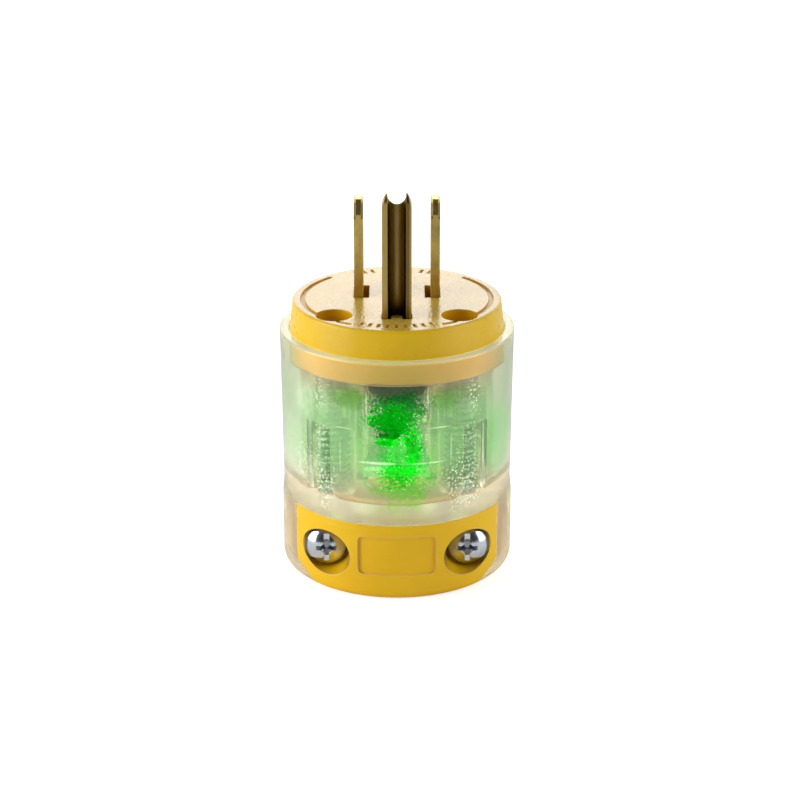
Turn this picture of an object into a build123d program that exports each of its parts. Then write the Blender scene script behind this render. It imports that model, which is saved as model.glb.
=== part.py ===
from build123d import *
import os
from math import cos, radians, sin

# A rewireable plug with two flat blades and a U-shaped ground pin, in millimetres.
# The origin is the middle of the foot, +Z points along the blades and -Y to the
# ground pin and the cord clamp. "left" is -X, the side of the line blade.

# Clear body, outside
body_radius = 19.6
body_height = 41.7
waist_radius = 19.35
waist_height = 14.7
lower_height = 12.2
foot_fillet = 1.6
rim_fillet = 0.35

# Clear body, inside
body_wall = 3.3
rim_wall = 1.5
floor_top = 15.6
floor_thickness = 2.2
cavity_fillet = 2.5
boss_radius = 3.4

# Face cover
face_gap = 0.25
face_rise = 4.7
face_depth = 4.2
face_draft = 0.5
face_top_wall = 2.5
skirt_wall = 1.8
face_fillet = 0.5
well_radius = 3.0
well_floor_thickness = 2.9
face_boss_wall = 1.2
slot_gap = 0.1
notch_depth = 0.8
notch_length = 6.6
collar_wall = 1.4
tongue_width = 1.9
tongue_depth = 2.1
groove_width = 0.8
groove_depth = 0.35
groove_inset = 1.7
groove_start = 137.0
groove_end = 214.0
groove_stub_start = 233.0
groove_stub_end = 241.0
mark_width = 0.55
mark_length = 1.7
mark_depth = 0.25
mark_inset = 2.5
mark_pitch = 5.6
front_mark_count = 9
back_mark_count = 3
back_mark_angle = 22.0

# Blades
blade_spacing = 12.7
blade_thickness = 1.5
blade_width = 6.35
blade_reach = 16.4
blade_row_y = 3.05
blade_tip_side = 1.7
blade_tip_height = 2.2
blade_tip_bevel = 0.3
shoulder_width = 9.5
shoulder_height = 2.9
tail_width = 8.0
tail_end = 4.0
terminal_drop = 7.3

# Ground pin
ground_offset = 11.9
pin_width = 4.75
pin_depth = 4.75
pin_wall = 0.9
ground_reach = 20.6
pin_nose_drop = 4.4
pin_nose_bulge = 0.45
pin_nose_front = 1.4
pin_nose_side = 0.65
pin_nose_side_height = 1.9
ground_tail_width = 7.0
ground_shoulder_width = 8.4
ground_terminal_drop = 3.7
ground_tail_end = 3.9

# Terminal screws and wire plates
terminal_screw_radius = 1.7
terminal_head_radius = 3.3
terminal_head_height = 2.2
terminal_head_dome = 0.9
terminal_screw_past = 1.4
wire_plate_thickness = 1.2
wire_plate_width = 8.0
wire_plate_height = 6.8
wire_plate_corner = 0.8
thread_gap = 0.02
screw_gap = 0.15
slot_width = 0.9
slot_depth = 0.7

# Terminal block
block_gap = 0.2
block_plate = 3.6
post_radius = 3.5
post_height = 5.1
rib_inner = 5.2
rib_wall = 1.2
rib_front_inset = 1.6
rib_back = -9.6
chord_wall = 1.4
chord_inset = 3.2
ledge_depth = 0.8
ledge_height = 0.6

# Assembly screws
screw_inset = 2.5
screw_angle = 42.5
assembly_shank_radius = 1.5
assembly_head_radius = 2.75
assembly_head_height = 2.1
assembly_head_dome = 0.8
thread_foot = 0.9
thread_hole_spare = 0.4
cross_width = 0.75
cross_share = 0.58
cross_depth = 1.8
cross_taper = 38.0
core_share = 0.56
core_taper = 16.0

# Cord entry and clamp
cord_entry_radius = 6.8
saddle_radius = 7.75
grip_radius = 7.0
grip_height = 1.2
grip_pitch = 3.7
grip_count = 3
clamp_side_inset = 2.9
clamp_height = 13.4
clamp_gap = 0.1
clamp_back = -2.5
clamp_corner_width = 3.9
clamp_corner_height = 3.4
panel_width = 12.8
panel_height = 6.7
panel_middle = 7.9
panel_depth = 0.35
panel_corner = 0.9
pocket_wall = 2.0
pocket_half_width = 6.2
pocket_roof = 2.4

# Clamp screws and nuts
clamp_screw_edge = 4.95
clamp_screw_height = 7.05
clamp_shank_radius = 1.75
clamp_head_radius = 3.45
clamp_head_height = 2.4
clamp_head_dome = 1.5
recess_radius = 3.95
recess_inset = 7.6
nut_inset = 9.4
nut_width = 6.35
nut_height = 2.8
nut_gap = 0.15
clamp_screw_past = 0.9

# Lamp board and what it carries
board_drop = 13.3
board_thickness = 1.6
board_gap = 0.15
board_back = 7.3
board_waist = 4.7
led_inset = 2.1
led_radius = 1.5
led_flange_radius = 1.9
led_flange_height = 0.9
led_height = 5.3
leg_radius = 0.25
leg_spacing = 2.54
leg_below = 0.8
hole_gap = 0.05
part_x = 2.3
resistor_radius = 1.2
resistor_waist = 0.95
resistor_length = 6.2
resistor_cap = 1.5
diode_radius = 1.0
diode_length = 4.6
axial_y = -3.4
axial_pitch = 10.0
axial_lift = 0.1
lead_radius = 0.3
lead_bend = 0.7
contact_thickness = 0.4
contact_width = 1.9
contact_foot = 2.0
contact_y = 6.0
contact_height = 3.6

# Sizes that follow
cavity_radius = body_radius - body_wall
socket_radius = body_radius - rim_wall
skirt_radius = socket_radius - face_gap
face_radius = skirt_radius - face_draft
face_bottom = body_height - face_depth
face_top = body_height + face_rise
block_radius = cavity_radius - block_gap
block_plate_bottom = face_bottom - block_plate
boss_top = block_plate_bottom - post_height
thread_depth = boss_top - floor_top - thread_foot
chord_front = block_radius - chord_inset
terminal_height = block_plate_bottom - terminal_drop
tail_bottom = terminal_height - tail_end
ground_terminal_height = block_plate_bottom - ground_terminal_drop
board_bottom = block_plate_bottom - board_drop
floor_bottom = floor_top - floor_thickness
screw_circle = cavity_radius - screw_inset
screw_x = screw_circle * cos(radians(screw_angle))
screw_y = -screw_circle * sin(radians(screw_angle))
well_floor = face_bottom + well_floor_thickness
face_boss_radius = well_radius + face_boss_wall
shoulder_top = face_bottom + shoulder_height
collar_bottom = shoulder_top + slot_gap
blade_x = blade_spacing / 2
tail_face_x = blade_x + blade_thickness / 2
tail_inner_x = blade_x - blade_thickness / 2
ground_y = blade_row_y - ground_offset
pin_radius = pin_width / 2
pin_back = ground_y + pin_radius
pin_front = pin_back - pin_depth
ground_tail_front = pin_back - pin_wall
ground_tip = face_top + ground_reach
blade_tip = face_top + blade_reach
rib_bottom = board_bottom - ledge_height
floor_fillet = min(cavity_fillet, rib_bottom - floor_top)
rib_front = -block_radius + rib_front_inset
board_top = board_bottom + board_thickness
board_half = rib_inner - board_gap
led_y = rib_front + led_inset
clamp_half_width = body_radius - clamp_side_inset
clamp_screw_x = clamp_half_width - clamp_screw_edge
recess_floor = recess_inset - body_radius
nut_seat = body_radius - nut_inset

os.makedirs("parts", exist_ok=True)


def side_plane(side, x, y, z):
    """A sketch plane at a point, whose normal points outwards along X on the given side."""
    return Plane(origin=(side * x, y, z), x_dir=(0, side, 0), z_dir=(side, 0, 0))


def front_plane(x, y, z):
    """A sketch plane at a point, whose normal points to the front, with X to the right."""
    return Plane(origin=(x, y, z), x_dir=(1, 0, 0), z_dir=(0, -1, 0))


def save(piece, name):
    """Labels a finished piece and writes its file."""
    piece.label = name
    export_step(piece, f"parts/{name}.step")


# Outer form that the body and the clamp share
with BuildPart() as envelope:
    with BuildSketch(Plane.XZ):
        with BuildLine():
            Polyline(
                (0, 0),
                (body_radius, 0),
                (body_radius, lower_height),
                (waist_radius, waist_height),
                (body_radius, body_height),
                (0, body_height),
                close=True,
            )
        make_face()
    revolve(axis=Axis.Z)
    fillet(envelope.edges().filter_by(GeomType.CIRCLE).group_by(Axis.Z)[0], foot_fillet)
    fillet(envelope.edges().filter_by(GeomType.CIRCLE).group_by(Axis.Z)[-1], rim_fillet)


# Cord passage with its grip ridges, cut from the body and the clamp
def passage(top):
    """The space for the cord from below the foot to the given height."""
    middle = clamp_height / 2
    with BuildPart() as space:
        with BuildSketch(Plane.XY.offset(-clamp_height)):
            Circle(saddle_radius)
        extrude(amount=clamp_height + top)
        for index in range(grip_count):
            height = middle + (index - (grip_count - 1) / 2) * grip_pitch - grip_height / 2
            with BuildSketch(Plane.XY.offset(height)):
                Circle(saddle_radius)
                Circle(grip_radius, mode=Mode.SUBTRACT)
            extrude(amount=grip_height, mode=Mode.SUBTRACT)
    return space.part


def clamp_window(half_width, top, corner_shift):
    """The block in front that the clamp fills, with its lower corners cut off."""
    with BuildPart() as window:
        with BuildSketch(front_plane(0, clamp_back, 0)):
            with BuildLine():
                Polyline(
                    (-half_width, top),
                    (-half_width, clamp_corner_height + corner_shift),
                    (-half_width + clamp_corner_width, corner_shift),
                    (-half_width + clamp_corner_width, -clamp_height),
                    (half_width - clamp_corner_width, -clamp_height),
                    (half_width - clamp_corner_width, corner_shift),
                    (half_width, clamp_corner_height + corner_shift),
                    (half_width, top),
                    close=True,
                )
            make_face()
        extrude(amount=body_radius)
    return window.part


def core_pocket(toward):
    """A core-out behind (toward 1) or before (toward -1) the cord passage, open at the foot."""
    with BuildPart() as pocket:
        with BuildSketch(Plane.XY.offset(-clamp_height)):
            Circle(body_radius - body_wall)
            Circle(saddle_radius + pocket_wall, mode=Mode.SUBTRACT)
            with Locations((0, toward * body_radius)):
                Rectangle(2 * pocket_half_width, 2 * body_radius, mode=Mode.INTERSECT)
        extrude(amount=2 * clamp_height - pocket_roof)
    return pocket.part


# Clear body
with BuildPart() as body_shell:
    add(envelope.part)
    with BuildSketch(Plane.XY.offset(face_bottom)):
        Circle(socket_radius)
    extrude(amount=body_height, mode=Mode.SUBTRACT)
    with BuildSketch(Plane.XZ):
        with BuildLine():
            outline = FilletPolyline(
                (0, floor_top),
                (cavity_radius, floor_top),
                (cavity_radius, face_bottom),
                radius=floor_fillet,
            )
            Polyline(outline @ 1, (0, face_bottom), (0, floor_top))
        make_face()
    revolve(axis=Axis.Z, mode=Mode.SUBTRACT)
    with BuildSketch(Plane.XY.offset(floor_bottom)):
        with Locations((-screw_x, screw_y), (screw_x, screw_y)):
            Circle(boss_radius)
    extrude(amount=boss_top - floor_bottom)
    with BuildSketch(Plane.XY.offset(boss_top)):
        with Locations((-screw_x, screw_y), (screw_x, screw_y)):
            Circle(assembly_shank_radius + thread_gap)
    extrude(amount=-(thread_depth + thread_hole_spare), mode=Mode.SUBTRACT)
    add(
        clamp_window(clamp_half_width + clamp_gap, clamp_height + clamp_gap, -clamp_gap),
        mode=Mode.SUBTRACT,
    )
    with BuildSketch(Plane.XY):
        Circle(cord_entry_radius)
    extrude(amount=floor_top, mode=Mode.SUBTRACT)
    add(passage(floor_bottom), mode=Mode.SUBTRACT)
    add(core_pocket(1), mode=Mode.SUBTRACT)
    for side in (-1, 1):
        screw_line = (side * clamp_screw_x, clamp_screw_height)
        with BuildSketch(front_plane(0, 0, 0)):
            with Locations(screw_line):
                Circle(clamp_shank_radius + screw_gap)
        extrude(amount=body_radius, both=True, mode=Mode.SUBTRACT)
        with BuildSketch(front_plane(0, nut_seat, 0)):
            with Locations(screw_line):
                RegularPolygon(nut_width / 2 + nut_gap, 6, major_radius=False, rotation=30)
        extrude(amount=-body_radius, mode=Mode.SUBTRACT)
save(body_shell.part, "body_shell")

# Face cover
with BuildPart() as face_cover:
    with BuildSketch(Plane.XZ):
        with BuildLine():
            Polyline(
                (0, face_bottom),
                (skirt_radius, face_bottom),
                (skirt_radius, body_height),
                (face_radius, face_top),
                (0, face_top),
                close=True,
            )
        make_face()
    revolve(axis=Axis.Z)
    fillet(face_cover.edges().filter_by(GeomType.CIRCLE).group_by(Axis.Z)[-1], face_fillet)
    with BuildSketch(Plane.XY.offset(face_bottom)):
        Circle(skirt_radius - skirt_wall)
    extrude(amount=face_top - face_top_wall - face_bottom, mode=Mode.SUBTRACT)
    with BuildSketch(Plane.XY.offset(face_bottom)):
        with Locations((-screw_x, screw_y), (screw_x, screw_y)):
            Circle(face_boss_radius)
        Circle(skirt_radius - skirt_wall / 2, mode=Mode.INTERSECT)
    extrude(amount=face_top - face_top_wall - face_bottom)
    with BuildSketch(Plane.XY.offset(collar_bottom)):
        with Locations((-blade_x, blade_row_y), (blade_x, blade_row_y)):
            Rectangle(blade_thickness + 2 * collar_wall, shoulder_width)
        with Locations((0, ground_y)):
            Rectangle(ground_shoulder_width, pin_depth + 2 * collar_wall)
    extrude(amount=face_top - face_top_wall - collar_bottom)
    with BuildSketch(Plane.XY.offset(well_floor)):
        with Locations((-screw_x, screw_y), (screw_x, screw_y)):
            Circle(well_radius)
    extrude(amount=face_top, mode=Mode.SUBTRACT)
    with BuildSketch(Plane.XY.offset(face_bottom)):
        with Locations((-screw_x, screw_y), (screw_x, screw_y)):
            Circle(assembly_shank_radius + screw_gap)
        with Locations((-blade_x, blade_row_y), (blade_x, blade_row_y)):
            Rectangle(blade_thickness + 2 * slot_gap, blade_width + 2 * slot_gap)
        with Locations((0, ground_y)):
            Circle(pin_radius + slot_gap)
        with Locations((0, (ground_y + pin_front - slot_gap) / 2)):
            Rectangle(pin_width + 2 * slot_gap, ground_y - pin_front + slot_gap)
    extrude(amount=face_top, mode=Mode.SUBTRACT)
    for side in (-1, 1):
        notch_x = side * (tail_inner_x - slot_gap - notch_depth / 2)
        with BuildSketch(Plane.XY.offset(face_top - face_top_wall)):
            with Locations((notch_x, blade_row_y)):
                Rectangle(notch_depth + slot_gap, notch_length)
        extrude(amount=face_top_wall, mode=Mode.SUBTRACT)
    with BuildSketch(Plane.XY.offset(face_top - face_top_wall)):
        with Locations((0, pin_front - slot_gap + tongue_depth - tongue_width / 2)):
            Circle(tongue_width / 2)
        with Locations((0, pin_front - slot_gap + (tongue_depth - tongue_width / 2) / 2)):
            Rectangle(tongue_width, tongue_depth - tongue_width / 2)
    extrude(amount=face_top_wall)
    with BuildSketch(Plane.XY.offset(face_top)):
        for start, end in ((groove_start, groove_end), (groove_stub_start, groove_stub_end)):
            for first in (start, 180 - end):
                with BuildLine(mode=Mode.PRIVATE) as groove_line:
                    CenterArc((0, 0), face_radius - groove_inset, first, end - start)
                SlotArc(groove_line.edge(), groove_width)
    extrude(amount=-groove_depth, mode=Mode.SUBTRACT)
    with BuildSketch(Plane.XY.offset(face_top)):
        groups = (
            (270, front_mark_count),
            (90 - back_mark_angle, back_mark_count),
            (90 + back_mark_angle, back_mark_count),
        )
        for middle, count in groups:
            span = (count - 1) * mark_pitch
            with PolarLocations(
                face_radius - mark_inset, count, middle - span / 2, mark_pitch * count
            ):
                Rectangle(mark_length, mark_width)
    extrude(amount=-mark_depth, mode=Mode.SUBTRACT)
save(face_cover.part, "face_cover")

# Cord clamp
with BuildPart() as panel_skin:
    with BuildSketch(front_plane(0, clamp_back, panel_middle)):
        RectangleRounded(panel_width, panel_height, panel_corner)
    extrude(amount=body_radius)
    with BuildSketch(Plane.XY):
        Circle(body_radius - panel_depth)
    extrude(amount=clamp_height, mode=Mode.SUBTRACT)

with BuildPart() as cord_clamp:
    add(envelope.part)
    add(clamp_window(clamp_half_width, clamp_height, 0), mode=Mode.INTERSECT)
    add(passage(floor_top), mode=Mode.SUBTRACT)
    add(core_pocket(-1), mode=Mode.SUBTRACT)
    with BuildSketch(front_plane(0, 0, clamp_screw_height)):
        with Locations((-clamp_screw_x, 0), (clamp_screw_x, 0)):
            Circle(clamp_shank_radius + screw_gap)
    extrude(amount=body_radius, mode=Mode.SUBTRACT)
    with BuildSketch(front_plane(0, recess_floor, clamp_screw_height)):
        with Locations((-clamp_screw_x, 0), (clamp_screw_x, 0)):
            Circle(recess_radius)
    extrude(amount=body_radius, mode=Mode.SUBTRACT)
    add(panel_skin.part, mode=Mode.SUBTRACT)
save(cord_clamp.part, "cord_clamp")

# Terminal block
with BuildPart() as terminal_block:
    with BuildSketch(Plane.XY.offset(block_plate_bottom)):
        Circle(block_radius)
    extrude(amount=block_plate)
    with BuildSketch(Plane.XY.offset(boss_top)):
        with Locations((-screw_x, screw_y), (screw_x, screw_y)):
            Circle(post_radius)
        with Locations((0, -chord_front + chord_wall / 2)):
            Rectangle(2 * block_radius, chord_wall)
            Rectangle(2 * rib_inner, chord_wall, mode=Mode.SUBTRACT)
        Circle(block_radius, mode=Mode.INTERSECT)
    extrude(amount=block_plate_bottom - boss_top)
    for side in (-1, 1):
        rib_middle = (side * (rib_inner + rib_wall / 2), (rib_front + rib_back) / 2)
        with BuildSketch(Plane.XY.offset(rib_bottom)):
            with Locations(rib_middle):
                Rectangle(rib_wall, rib_back - rib_front)
        extrude(amount=block_plate_bottom - rib_bottom)
        ledge_middle = (side * (rib_inner - ledge_depth / 2), (rib_front + rib_back) / 2)
        with BuildSketch(Plane.XY.offset(rib_bottom)):
            with Locations(ledge_middle):
                Rectangle(ledge_depth, rib_back - rib_front)
        extrude(amount=ledge_height)
    with BuildSketch(Plane.XY.offset(boss_top)):
        with Locations((-screw_x, screw_y), (screw_x, screw_y)):
            Circle(assembly_shank_radius + screw_gap)
        with Locations((-blade_x, blade_row_y), (blade_x, blade_row_y)):
            Rectangle(blade_thickness + 2 * slot_gap, tail_width + 2 * slot_gap)
        with Locations((0, ground_y)):
            Circle(pin_radius + slot_gap)
        with Locations((0, (ground_y + pin_front - slot_gap) / 2)):
            Rectangle(pin_width + 2 * slot_gap, ground_y - pin_front + slot_gap)
        with Locations((0, pin_back - pin_wall / 2)):
            Rectangle(ground_tail_width + 2 * slot_gap, pin_wall + 2 * slot_gap)
    extrude(amount=face_bottom - boss_top, mode=Mode.SUBTRACT)
save(terminal_block.part, "terminal_block")

# Line and neutral blades
for side, name in ((-1, "line_blade"), (1, "neutral_blade")):
    with BuildPart() as blade:
        with BuildSketch(side_plane(side, tail_inner_x, blade_row_y, 0)):
            with BuildLine():
                Polyline(
                    (-blade_width / 2, shoulder_top),
                    (-blade_width / 2, blade_tip - blade_tip_height),
                    (-blade_width / 2 + blade_tip_side, blade_tip),
                    (blade_width / 2 - blade_tip_side, blade_tip),
                    (blade_width / 2, blade_tip - blade_tip_height),
                    (blade_width / 2, shoulder_top),
                    close=True,
                )
            make_face()
            with Locations((0, face_bottom + shoulder_height / 2)):
                Rectangle(shoulder_width, shoulder_height)
            with Locations((0, (face_bottom + tail_bottom) / 2)):
                Rectangle(tail_width, face_bottom - tail_bottom)
        extrude(amount=blade_thickness)
        tip_edges = blade.edges().filter_by(GeomType.LINE).filter_by_position(
            Axis.Z, blade_tip - blade_tip_height, blade_tip
        )
        chamfer(tip_edges.filter_by(Axis.X, reverse=True), blade_tip_bevel)
        with BuildSketch(side_plane(side, tail_inner_x, blade_row_y, terminal_height)):
            Circle(terminal_screw_radius + thread_gap)
        extrude(amount=blade_thickness, mode=Mode.SUBTRACT)
    save(blade.part, name)

# Ground pin, folded to a U that opens to the front
with BuildPart() as ground_pin:
    with BuildSketch(Plane.XY.offset(block_plate_bottom)):
        with Locations((0, ground_y)):
            Circle(pin_radius)
        with Locations((0, (ground_y + pin_front) / 2)):
            Rectangle(pin_width, ground_y - pin_front)
        with Locations((0, ground_y)):
            Circle(pin_radius - pin_wall, mode=Mode.SUBTRACT)
        with Locations((0, (ground_y + pin_front) / 2)):
            Rectangle(pin_width - 2 * pin_wall, ground_y - pin_front, mode=Mode.SUBTRACT)
    extrude(amount=ground_tip - block_plate_bottom)
    with BuildSketch(Plane.YZ):
        nose_middle = pin_front + pin_nose_front
        with BuildLine():
            Polyline(
                (pin_front, ground_tip - pin_nose_front),
                (pin_front, ground_tip + pin_depth),
                (pin_back, ground_tip + pin_depth),
                (pin_back, ground_tip - pin_nose_drop),
            )
            SagittaArc(
                (pin_back, ground_tip - pin_nose_drop), (nose_middle, ground_tip), -pin_nose_bulge
            )
            CenterArc((nose_middle, ground_tip - pin_nose_front), pin_nose_front, 90, 90)
        make_face()
    extrude(amount=pin_width, both=True, mode=Mode.SUBTRACT)
    with BuildSketch(Plane.XZ):
        for side in (-1, 1):
            with BuildLine():
                Polyline(
                    (side * pin_radius, ground_tip - pin_nose_side_height),
                    (side * (pin_radius - pin_nose_side), ground_tip),
                    (side * pin_radius, ground_tip),
                    close=True,
                )
            make_face()
    extrude(amount=body_radius, both=True, mode=Mode.SUBTRACT)
    tail_middle = pin_back - pin_wall / 2
    ground_tail_bottom = ground_terminal_height - ground_tail_end
    with BuildSketch(Plane.XY.offset(ground_tail_bottom)):
        with Locations((0, tail_middle)):
            Rectangle(ground_tail_width, pin_wall)
    extrude(amount=face_bottom - ground_tail_bottom)
    with BuildSketch(Plane.XY.offset(face_bottom)):
        with Locations((0, tail_middle)):
            Rectangle(ground_shoulder_width, pin_wall)
    extrude(amount=shoulder_height)
    with BuildSketch(Plane.XY.offset(block_plate_bottom)):
        with Locations((0, ground_y)):
            Circle(pin_radius - pin_wall)
        with Locations((0, (ground_y + pin_front) / 2)):
            Rectangle(pin_width - 2 * pin_wall, ground_y - pin_front)
    extrude(amount=ground_tip, mode=Mode.SUBTRACT)
    with BuildSketch(front_plane(0, pin_back, ground_terminal_height)):
        Circle(terminal_screw_radius + thread_gap)
    extrude(amount=pin_wall, mode=Mode.SUBTRACT)
save(ground_pin.part, "ground_pin")


def domed_head(plane, radius, height, dome):
    """A round head on the plane, whose top is part of a sphere that rises by dome."""
    sphere_radius = (radius**2 + dome**2) / (2 * dome)
    with BuildPart() as head:
        with BuildSketch(plane):
            Circle(radius)
        extrude(amount=height)
        with Locations(plane.offset(height - sphere_radius)):
            Sphere(sphere_radius, mode=Mode.INTERSECT)
    return head.part


def wire_screw(plane, shank):
    """A slotted wire screw whose head sits on the plane, with the shank behind it."""
    with BuildPart() as screw:
        add(domed_head(plane, terminal_head_radius, terminal_head_height, terminal_head_dome))
        with BuildSketch(plane):
            Circle(terminal_screw_radius)
        extrude(amount=-shank)
        with BuildSketch(plane.offset(terminal_head_height)):
            Rectangle(2 * terminal_head_radius, slot_width)
        extrude(amount=-slot_depth, mode=Mode.SUBTRACT)
    return screw.part


def wire_plate(plane, width, height):
    """A pressure plate on the plane, with rounded corners and a hole for its screw."""
    with BuildPart() as plate:
        with BuildSketch(plane):
            RectangleRounded(width, height, wire_plate_corner)
            Circle(terminal_screw_radius + screw_gap, mode=Mode.SUBTRACT)
        extrude(amount=wire_plate_thickness)
    return plate.part


# Wire plates and wire screws of the blades
for side, name in ((-1, "line"), (1, "neutral")):
    on_tail = side_plane(side, tail_face_x, blade_row_y, terminal_height)
    plate = wire_plate(on_tail, wire_plate_width, wire_plate_height)
    save(plate, f"{name}_wire_plate")
    shank = wire_plate_thickness + blade_thickness + terminal_screw_past
    screw = wire_screw(on_tail.offset(wire_plate_thickness), shank)
    save(screw, f"{name}_terminal_screw")

# Wire plate and wire screw of the ground pin
on_ground_tail = front_plane(0, ground_tail_front, ground_terminal_height)
ground_plate = wire_plate(on_ground_tail, wire_plate_width, wire_plate_height)
save(ground_plate, "ground_wire_plate")
ground_shank = wire_plate_thickness + pin_wall + terminal_screw_past
ground_screw = wire_screw(on_ground_tail.offset(wire_plate_thickness), ground_shank)
save(ground_screw, "ground_terminal_screw")


def cross_recess(plane, head_radius):
    """The space of a cross recess below the plane: crossed slots with sloping ends and a square core."""
    with BuildPart() as space:
        with BuildSketch(plane):
            Rectangle(2 * head_radius, cross_width)
            Rectangle(cross_width, 2 * head_radius)
        extrude(amount=-cross_depth)
        with BuildSketch(plane):
            Circle(head_radius * cross_share)
        extrude(amount=-cross_depth, taper=cross_taper, mode=Mode.INTERSECT)
        with BuildSketch(plane):
            Rectangle(head_radius * core_share, head_radius * core_share, rotation=45)
        extrude(amount=-cross_depth, taper=core_taper)
    return space.part


def crossed_screw(plane, head_radius, head_height, dome, shank_radius, shank):
    """A screw with a domed head on the plane, with a cross recess and a full slot."""
    with BuildPart() as screw:
        add(domed_head(plane, head_radius, head_height, dome))
        with BuildSketch(plane):
            Circle(shank_radius)
        extrude(amount=-shank)
        add(cross_recess(plane.offset(head_height), head_radius), mode=Mode.SUBTRACT)
        with BuildSketch(plane.offset(head_height)):
            Rectangle(slot_width, 2 * head_radius)
        extrude(amount=-slot_depth, mode=Mode.SUBTRACT)
    return screw.part


# Screws that hold the face cover and the terminal block on the body
assembly_shank = well_floor - boss_top + thread_depth
for side, name in ((-1, "assembly_screw_left"), (1, "assembly_screw_right")):
    screw = crossed_screw(
        Plane(origin=(side * screw_x, screw_y, well_floor)),
        assembly_head_radius,
        assembly_head_height,
        assembly_head_dome,
        assembly_shank_radius,
        assembly_shank,
    )
    save(screw, name)

# Screws and nuts of the cord clamp
nut_face = nut_seat + nut_height
clamp_shank = nut_face + clamp_screw_past - recess_floor
for side, name in ((-1, "left"), (1, "right")):
    screw = crossed_screw(
        front_plane(side * clamp_screw_x, recess_floor, clamp_screw_height),
        clamp_head_radius,
        clamp_head_height,
        clamp_head_dome,
        clamp_shank_radius,
        clamp_shank,
    )
    save(screw, f"clamp_screw_{name}")
    with BuildPart() as clamp_nut:
        with BuildSketch(front_plane(side * clamp_screw_x, nut_seat, clamp_screw_height)):
            RegularPolygon(nut_width / 2, 6, major_radius=False, rotation=30)
            Circle(clamp_shank_radius + thread_gap, mode=Mode.SUBTRACT)
        extrude(amount=-nut_height)
    save(clamp_nut.part, f"clamp_nut_{name}")

# Lamp board, narrower behind the ribs of the terminal block
axial_ends = (axial_y - axial_pitch / 2, axial_y + axial_pitch / 2)
with BuildPart() as led_board:
    with BuildSketch(Plane.XY.offset(board_bottom)):
        with Locations((0, (rib_front + rib_back) / 2)):
            Rectangle(2 * board_half, rib_back - rib_front)
        with Locations((0, (rib_back + board_back) / 2)):
            Rectangle(2 * board_waist, board_back - rib_back)
        with Locations((0, contact_y)):
            Rectangle(2 * (tail_inner_x - board_gap), contact_width)
        with Locations((-leg_spacing / 2, led_y), (leg_spacing / 2, led_y)):
            Circle(leg_radius + hole_gap, mode=Mode.SUBTRACT)
        for x in (-part_x, part_x):
            with Locations((x, axial_ends[0]), (x, axial_ends[1])):
                Circle(lead_radius + hole_gap, mode=Mode.SUBTRACT)
    extrude(amount=board_thickness)
save(led_board.part, "led_board")

# Indicator lamp with its two legs
with BuildPart() as led:
    with BuildSketch(Plane.XY.offset(board_top)):
        with Locations((0, led_y)):
            Circle(led_flange_radius)
    extrude(amount=led_flange_height)
    with BuildSketch(Plane.XY.offset(board_top)):
        with Locations((0, led_y)):
            Circle(led_radius)
    extrude(amount=led_height - led_radius)
    with Locations((0, led_y, board_top + led_height - led_radius)):
        Sphere(led_radius)
    with BuildSketch(Plane.XY.offset(board_bottom - leg_below)):
        with Locations((-leg_spacing / 2, led_y), (leg_spacing / 2, led_y)):
            Circle(leg_radius)
    extrude(amount=board_thickness + leg_below + led_flange_height)
save(led.part, "led")


def axial_part(x, body_outline):
    """A part on the board along Y: its body is turned from the outline, its leads bend down."""
    axis_height = board_top + axial_lift + max(radius for _, radius in body_outline)
    middle = Plane(origin=(x, axial_y, axis_height), x_dir=(0, 1, 0), z_dir=(1, 0, 0))
    foot = board_bottom - leg_below - axis_height
    half_pitch = axial_pitch / 2
    with BuildPart() as piece:
        with BuildSketch(middle):
            with BuildLine():
                Polyline((body_outline[0][0], 0), *body_outline, (body_outline[-1][0], 0), close=True)
            make_face()
        revolve(axis=Axis((x, axial_y, axis_height), (0, 1, 0)))
        with BuildLine(middle) as lead_path:
            FilletPolyline(
                (-half_pitch, foot),
                (-half_pitch, 0),
                (half_pitch, 0),
                (half_pitch, foot),
                radius=lead_bend,
            )
        with BuildSketch(Plane(origin=lead_path.line @ 0, z_dir=lead_path.line % 0)):
            Circle(lead_radius)
        sweep(path=lead_path.line)
    return piece.part


# Dropping resistor, thicker at its two end caps
half_resistor = resistor_length / 2
resistor_outline = (
    (-half_resistor, resistor_radius),
    (-half_resistor + resistor_cap, resistor_radius),
    (-half_resistor + resistor_cap, resistor_waist),
    (half_resistor - resistor_cap, resistor_waist),
    (half_resistor - resistor_cap, resistor_radius),
    (half_resistor, resistor_radius),
)
save(axial_part(-part_x, resistor_outline), "dropping_resistor")

# Rectifier diode
diode_outline = ((-diode_length / 2, diode_radius), (diode_length / 2, diode_radius))
save(axial_part(part_x, diode_outline), "rectifier_diode")

# Brass leaves from the board to the inner faces of the blades' tails
for side, name in ((-1, "line_contact"), (1, "neutral_contact")):
    with BuildPart() as contact:
        with BuildSketch(Plane.XZ.offset(-contact_y)):
            with BuildLine():
                outer_x = side * tail_inner_x
                inner_x = side * (tail_inner_x - contact_thickness)
                foot_x = side * (tail_inner_x - contact_foot)
                Polyline(
                    (outer_x, board_top),
                    (outer_x, board_top + contact_height),
                    (inner_x, board_top + contact_height),
                    (inner_x, board_top + contact_thickness),
                    (foot_x, board_top + contact_thickness),
                    (foot_x, board_top),
                    close=True,
                )
            make_face()
        extrude(amount=contact_width / 2, both=True)
    save(contact.part, name)
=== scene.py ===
import math

import bmesh
import bpy
from mathutils import Matrix, Vector


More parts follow.
